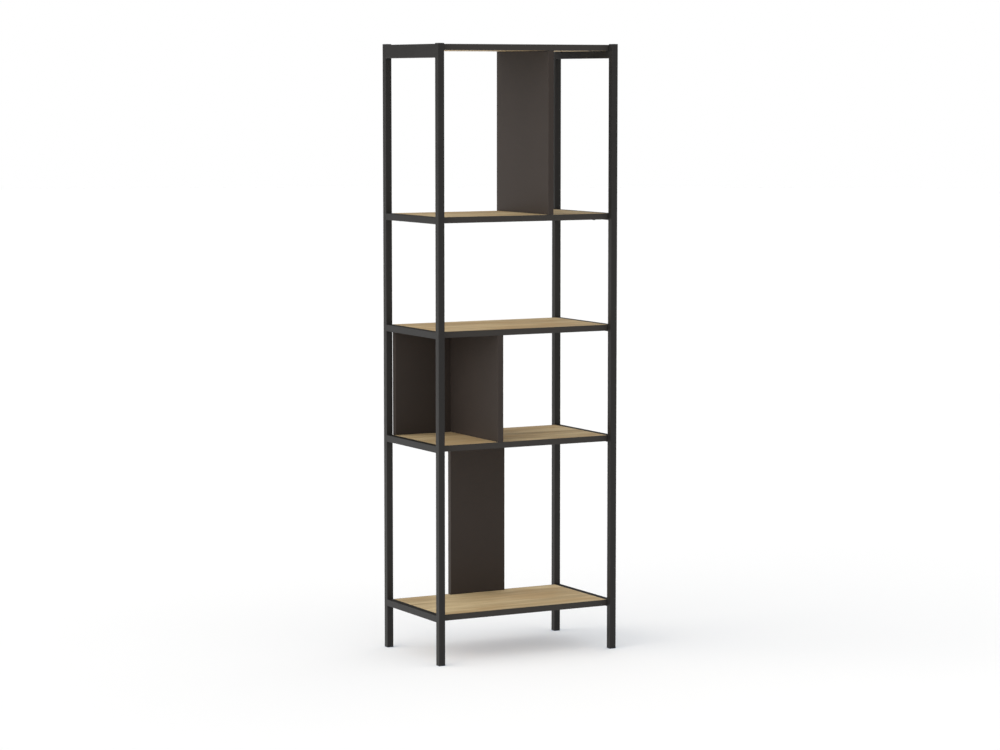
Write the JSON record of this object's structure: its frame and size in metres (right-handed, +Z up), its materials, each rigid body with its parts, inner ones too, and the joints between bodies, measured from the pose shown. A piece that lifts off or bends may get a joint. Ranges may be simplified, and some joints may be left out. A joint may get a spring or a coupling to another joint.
{
  "type": "bookcase",
  "caption": "Tall open bookcase: dark square-tube side frames carry oak-faced boards, with dark upright panels standing off-centre in some bays.",
  "frame": {"origin": "on the floor under the middle of the bookcase", "axes": "+Z up, +X to the right as seen from the front, front towards -Y"},
  "size_m": [0.6, 0.36, 1.815],
  "materials": {
    "powder_coated_steel": "satin anthracite powder coat",
    "oak_faced_board": "matt light oak face on a particle board core",
    "dark_edging": "matt anthracite edging strip",
    "bronze_lacquer_panel": "matt dark bronze lacquer on fibreboard",
    "black_plastic": "fine-textured black moulding",
    "zinc_plated_steel": "bright zinc plate",
    "beech_dowel": "raw fluted beech"
  },
  "bodies": {
    "frame": {"front_left_post": "powder_coated_steel", "front_right_post": "powder_coated_steel", "rear_left_post": "powder_coated_steel", "rear_right_post": "powder_coated_steel", "left_rail_1": "powder_coated_steel", "left_rail_2": "powder_coated_steel", "left_rail_3": "powder_coated_steel", "left_rail_4": "powder_coated_steel", "left_top_rail": "powder_coated_steel", "right_rail_1": "powder_coated_steel", "right_rail_2": "powder_coated_steel", "right_rail_3": "powder_coated_steel", "right_rail_4": "powder_coated_steel", "right_top_rail": "powder_coated_steel", "shelf_1": "oak_faced_board", "shelf_2": "oak_faced_board", "shelf_3": "oak_faced_board", "shelf_4": "oak_faced_board", "top_board": "oak_faced_board", "shelf_1_edging": "dark_edging", "shelf_2_edging": "dark_edging", "shelf_3_edging": "dark_edging", "shelf_4_edging": "dark_edging", "top_board_edging": "dark_edging", "support_tabs_1": "powder_coated_steel", "support_tabs_2": "powder_coated_steel", "support_tabs_3": "powder_coated_steel", "support_tabs_4": "powder_coated_steel", "top_support_tabs": "powder_coated_steel", "upper_divider": "bronze_lacquer_panel", "nook_divider": "bronze_lacquer_panel", "nook_back_panel": "bronze_lacquer_panel", "lower_back_panel": "bronze_lacquer_panel", "front_left_cap": "black_plastic", "front_right_cap": "black_plastic", "rear_left_cap": "black_plastic", "rear_right_cap": "black_plastic", "front_left_foot_plug": "black_plastic", "front_right_foot_plug": "black_plastic", "rear_left_foot_plug": "black_plastic", "rear_right_foot_plug": "black_plastic", "board_screws": "zinc_plated_steel", "panel_screws": "zinc_plated_steel", "panel_dowels": "beech_dowel"},
    "front_left_glide": {"front_left_glide": "zinc_plated_steel"},
    "front_right_glide": {"front_right_glide": "zinc_plated_steel"},
    "rear_left_glide": {"rear_left_glide": "zinc_plated_steel"},
    "rear_right_glide": {"rear_right_glide": "zinc_plated_steel"}
  },
  "joints": [
    {"name": "front_left_glide_travel", "type": "slide", "parent": "frame", "child": "front_left_glide", "axis": [0, 0, -1], "range_m": [0, 0.01]},
    {"name": "front_right_glide_travel", "type": "slide", "parent": "frame", "child": "front_right_glide", "axis": [0, 0, -1], "range_m": [0, 0.01]},
    {"name": "rear_left_glide_travel", "type": "slide", "parent": "frame", "child": "rear_left_glide", "axis": [0, 0, -1], "range_m": [0, 0.01]},
    {"name": "rear_right_glide_travel", "type": "slide", "parent": "frame", "child": "rear_right_glide", "axis": [0, 0, -1], "range_m": [0, 0.01]}
  ]
}
